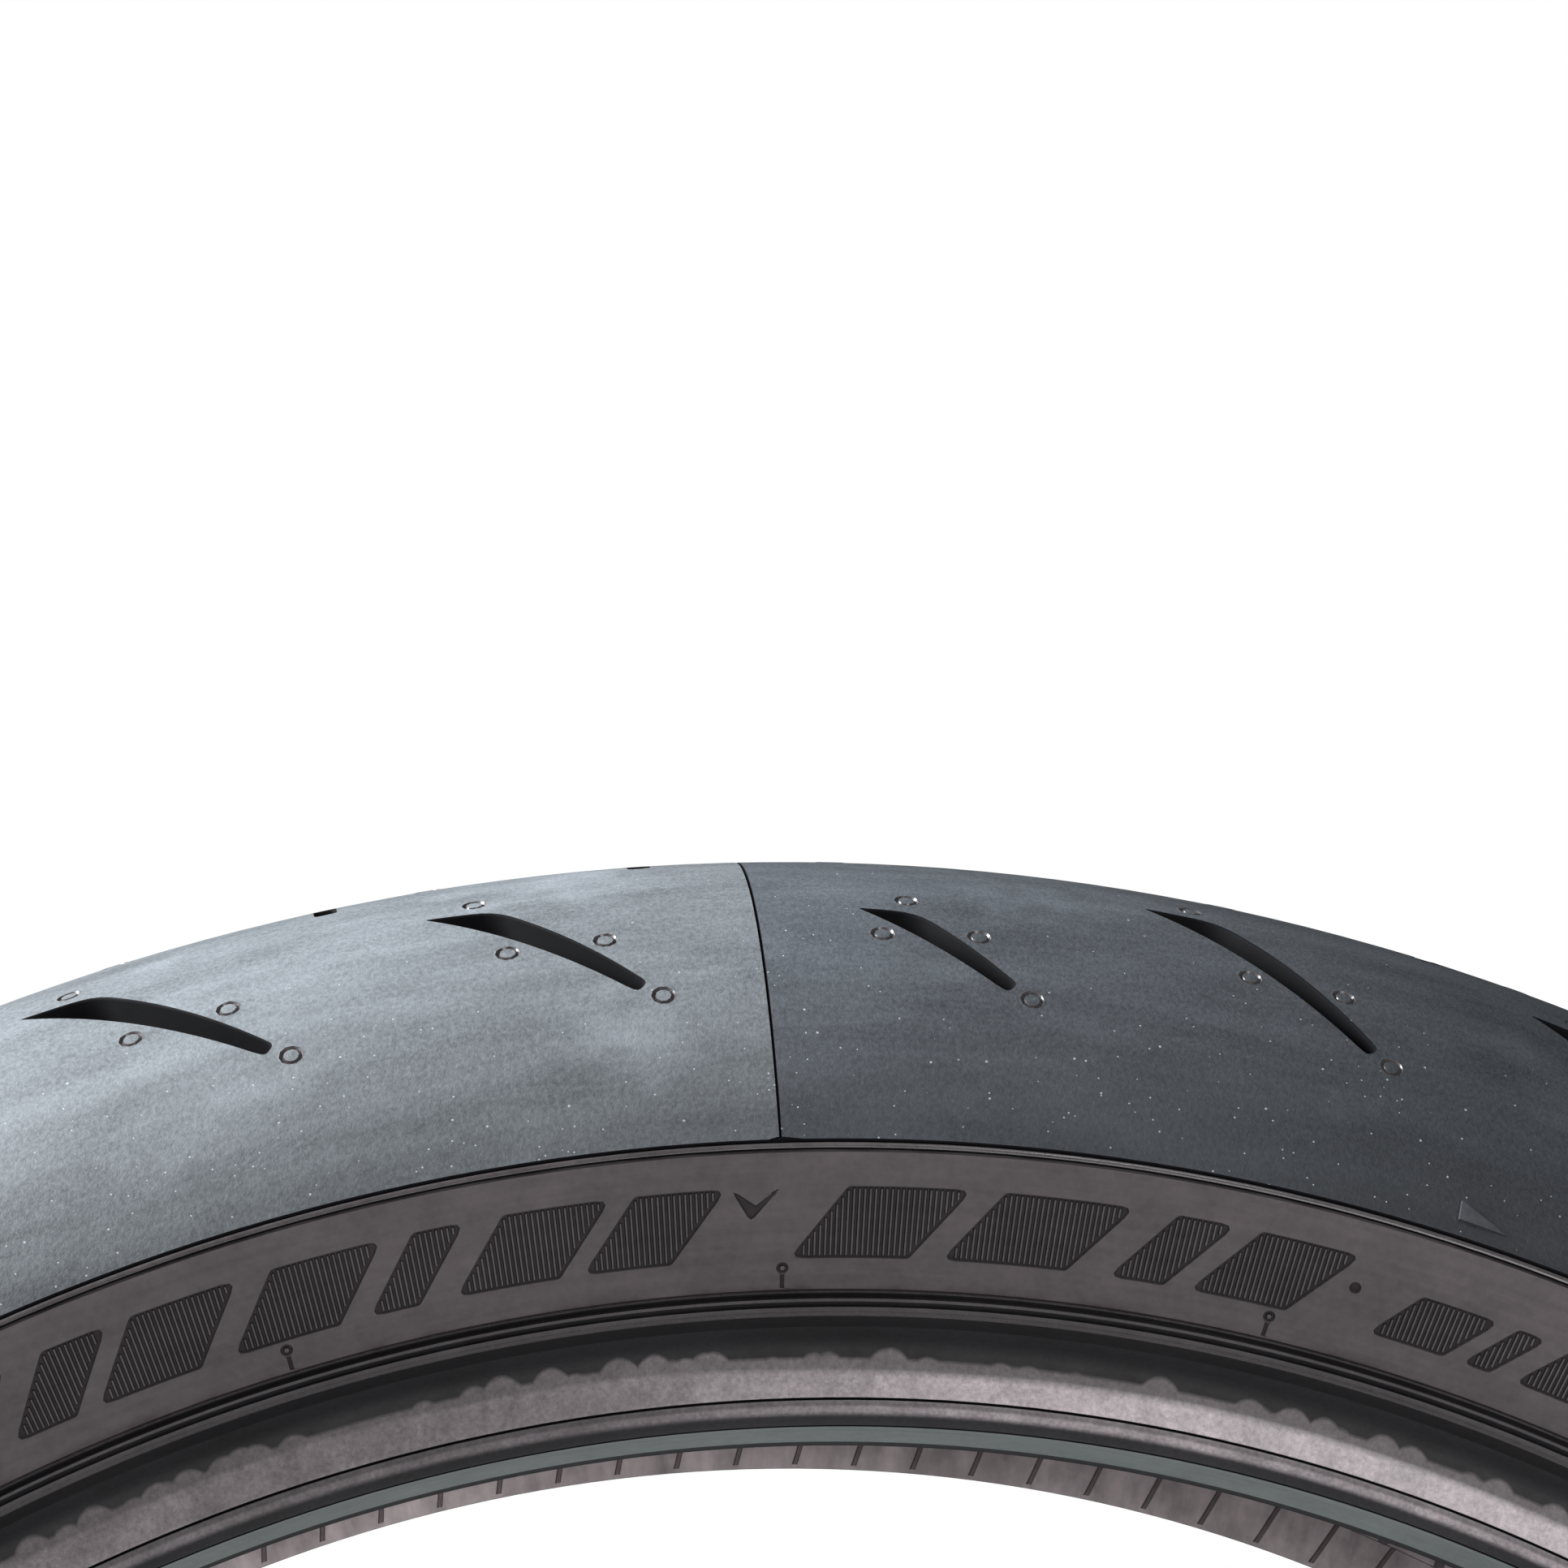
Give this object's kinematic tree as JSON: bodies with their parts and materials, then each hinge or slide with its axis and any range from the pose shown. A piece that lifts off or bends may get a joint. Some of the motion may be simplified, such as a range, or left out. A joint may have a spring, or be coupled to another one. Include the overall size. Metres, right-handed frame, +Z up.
{
  "type": "motorcycle tyre",
  "caption": "Radial motorcycle front tyre with a grooved round tread, built up from tread, belt, carcass ply, liner, sidewalls and wire beads.",
  "frame": {"origin": "wheel centre: on the wheel axis, in the tyre's middle plane", "axes": "+Y along the wheel axis, from the left side of the tyre to the right; +Z up; +X forward"},
  "size_m": [0.5997, 0.12, 0.5996],
  "materials": {
    "tread_rubber": "matte, new tread with a fine grain",
    "sidewall_rubber": "satin, smooth moulded sidewall",
    "bead_rubber": "semi-gloss, smooth bead",
    "liner_rubber": "semi-gloss, ribbed by the curing bladder",
    "base_rubber": "matte",
    "topping_rubber": "matte",
    "ply_fabric": "rubber-coated cord fabric",
    "steel_cord": "brass-coated steel"
  },
  "bodies": {
    "root": {"tread_cap": "tread_rubber", "tread_wing_left": "sidewall_rubber", "tread_wing_right": "sidewall_rubber", "tread_base": "base_rubber", "belt_topping": "topping_rubber", "belt_cord": "steel_cord", "belt_edge_cushion_left": "topping_rubber", "belt_edge_cushion_right": "topping_rubber", "carcass_ply": "ply_fabric", "inner_liner": "liner_rubber", "sidewall_left": "sidewall_rubber", "sidewall_right": "sidewall_rubber", "rim_cushion_left": "bead_rubber", "rim_cushion_right": "bead_rubber", "chafer_left": "ply_fabric", "chafer_right": "ply_fabric", "bead_filler_left": "base_rubber", "bead_filler_right": "base_rubber", "bead_wrap_left": "ply_fabric", "bead_wrap_right": "ply_fabric", "bead_tape_left": "topping_rubber", "bead_tape_right": "topping_rubber", "bead_wire_left": "steel_cord", "bead_wire_right": "steel_cord"}
  },
  "joints": []
}
